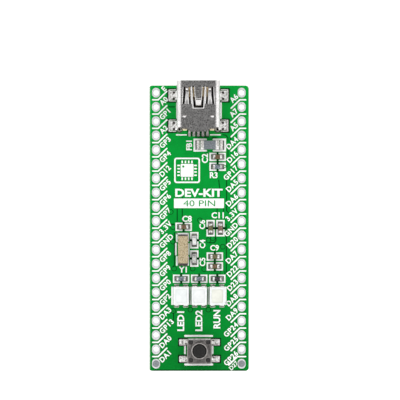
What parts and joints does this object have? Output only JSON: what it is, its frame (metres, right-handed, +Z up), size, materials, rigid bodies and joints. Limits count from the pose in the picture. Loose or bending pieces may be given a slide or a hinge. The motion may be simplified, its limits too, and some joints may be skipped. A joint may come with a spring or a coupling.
{
  "type": "microcontroller dev board",
  "caption": "Narrow plug-in microcontroller board with two rows of plated pin holes, a small USB socket, indicator LEDs and a reset push button.",
  "frame": {"origin": "centre of the flat underside of the microcontroller package, straight below the centre of the pin-hole pattern; the board lies on this face", "axes": "+Z up from the component side, +Y along the board towards the USB socket, +X to the right when the board is seen from the component side with the USB socket away from the viewer"},
  "size_m": [0.0178, 0.0515, 0.0071],
  "materials": {
    "solder_mask": "satin",
    "tinned_solder": "satin",
    "shell_steel": "matte",
    "gold_contact": "satin",
    "cream_plastic": "matte",
    "black_plastic": "matte",
    "white_plastic": "satin",
    "milky_lens": "gloss",
    "grey_ferrite": "matte",
    "brown_ceramic": "matte",
    "grey_ceramic": "satin",
    "black_resistor": "satin",
    "crystal_ceramic": "matte",
    "speckled_lid": "satin",
    "quartz": "gloss",
    "black_moulding": "matte"
  },
  "bodies": {
    "board": {"circuit_board": "solder_mask", "corner_solder_left": "tinned_solder", "corner_solder_right": "tinned_solder", "usb_shell": "shell_steel", "usb_insulator": "cream_plastic", "usb_contact_1": "gold_contact", "usb_contact_2": "gold_contact", "usb_contact_3": "gold_contact", "usb_contact_4": "gold_contact", "usb_contact_5": "gold_contact", "button_base": "black_plastic", "button_cover": "shell_steel", "button_dome": "shell_steel", "button_terminal_upper": "tinned_solder", "button_terminal_lower": "tinned_solder", "ferrite_bead": "grey_ferrite", "usb_capacitor": "brown_ceramic", "usb_resistor": "black_resistor", "supply_capacitor_1": "brown_ceramic", "supply_capacitor_2": "brown_ceramic", "supply_capacitor_3": "brown_ceramic", "crystal_capacitor_1": "grey_ceramic", "crystal_capacitor_2": "grey_ceramic", "core_capacitor_1": "brown_ceramic", "core_capacitor_2": "brown_ceramic", "watch_crystal_base": "crystal_ceramic", "watch_crystal_lid": "speckled_lid", "watch_crystal_blank": "quartz", "led_resistor_1": "black_resistor", "led_housing_1": "white_plastic", "led_lens_1": "milky_lens", "led_resistor_2": "black_resistor", "led_housing_2": "white_plastic", "led_lens_2": "milky_lens", "led_resistor_3": "black_resistor", "led_housing_3": "white_plastic", "led_lens_3": "milky_lens", "microcontroller": "black_moulding", "voltage_regulator": "black_moulding", "regulator_capacitor_in": "brown_ceramic", "regulator_capacitor_out": "brown_ceramic", "power_resistor": "black_resistor", "data_resistor_1": "black_resistor", "data_resistor_2": "black_resistor", "main_crystal_base": "crystal_ceramic", "main_crystal_lid": "shell_steel", "main_crystal_blank": "quartz", "load_capacitor_1": "grey_ceramic", "load_capacitor_2": "grey_ceramic", "reset_resistor": "black_resistor", "reset_capacitor": "brown_ceramic", "boot_resistor": "black_resistor", "core_capacitor_3": "brown_ceramic", "core_capacitor_4": "brown_ceramic"},
    "plunger": {"reset_button": "black_plastic"}
  },
  "joints": [
    {"name": "reset_press", "type": "slide", "parent": "board", "child": "plunger", "axis": [0, 0, -1], "range_m": [0, 0.00025], "stiffness_N_per_m": 800, "springref_m": -0.0005, "deforming": ["button_dome"]}
  ]
}
